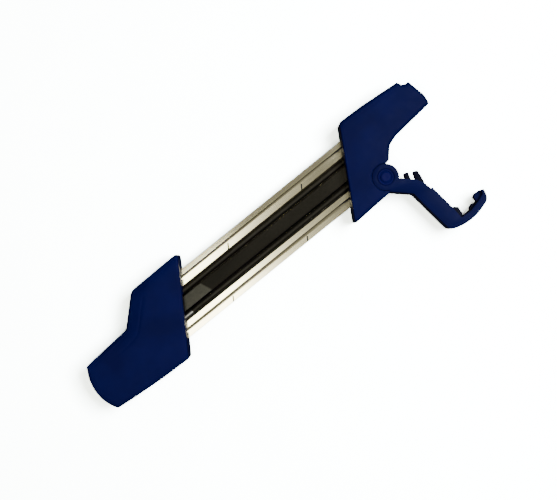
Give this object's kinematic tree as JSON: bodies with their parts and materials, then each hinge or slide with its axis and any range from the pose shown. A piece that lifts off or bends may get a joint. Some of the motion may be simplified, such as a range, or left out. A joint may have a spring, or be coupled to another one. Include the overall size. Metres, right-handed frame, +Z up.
{
  "type": "saw-chain file guide",
  "caption": "Saw-chain file guide: stepped guide rails and three files held between two handles, with a swinging lever that locks the files in.",
  "frame": {"origin": "midway between the two guide rails, on the lower guide plane that slides on the chain", "axes": "+X along the rails, in the direction of the filing stroke, towards the handle with the lever; +Y across the rails; +Z up, square to the guide plane"},
  "size_m": [0.3342, 0.1205, 0.03],
  "materials": {
    "handle_plastic": "fine-textured moulded nylon",
    "lever_plastic": "fine-textured moulded nylon",
    "rail_steel": "bright plated steel, brushed along its length",
    "file_steel": "dark hardened steel",
    "screw_steel": "zinc plated",
    "pin_steel": "ground steel",
    "washer_steel": "plain",
    "bush_brass": "turned",
    "block_plastic": "moulded",
    "buffer_rubber": "moulded"
  },
  "bodies": {
    "guide": {"rear_handle_top": "handle_plastic", "rear_handle_bottom": "handle_plastic", "rear_handle_screws": "screw_steel", "front_handle_top": "handle_plastic", "front_handle_bottom": "handle_plastic", "front_handle_screws": "screw_steel", "left_guide_rail": "rail_steel", "right_guide_rail": "rail_steel", "rear_rail_pins": "pin_steel", "front_rail_pins": "pin_steel", "flat_file": "file_steel", "rear_file_block": "block_plastic", "front_file_block": "block_plastic", "rear_file_bushes": "bush_brass", "front_file_bushes": "bush_brass", "file_end_buffers": "buffer_rubber", "lever_pivot_pin": "lever_plastic", "lever_pivot_washers": "washer_steel", "lever_pivot_cap": "lever_plastic"},
    "lever": {"locking_lever": "lever_plastic"},
    "left_file": {"left_round_file": "file_steel"},
    "right_file": {"right_round_file": "file_steel"}
  },
  "joints": [
    {"name": "lever_hinge", "type": "hinge", "parent": "guide", "child": "lever", "pos_m": [0.1014, -0.0211, 0.0016], "axis": [0, 0, 1], "range_deg": [0, 83]},
    {"name": "left_file_turn", "type": "hinge", "parent": "guide", "child": "left_file", "pos_m": [0, 0.0084, -0.00156], "axis": [1, 0, 0], "continuous": true},
    {"name": "right_file_turn", "type": "hinge", "parent": "guide", "child": "right_file", "pos_m": [0, -0.0084, 0.00476], "axis": [1, 0, 0], "continuous": true}
  ]
}
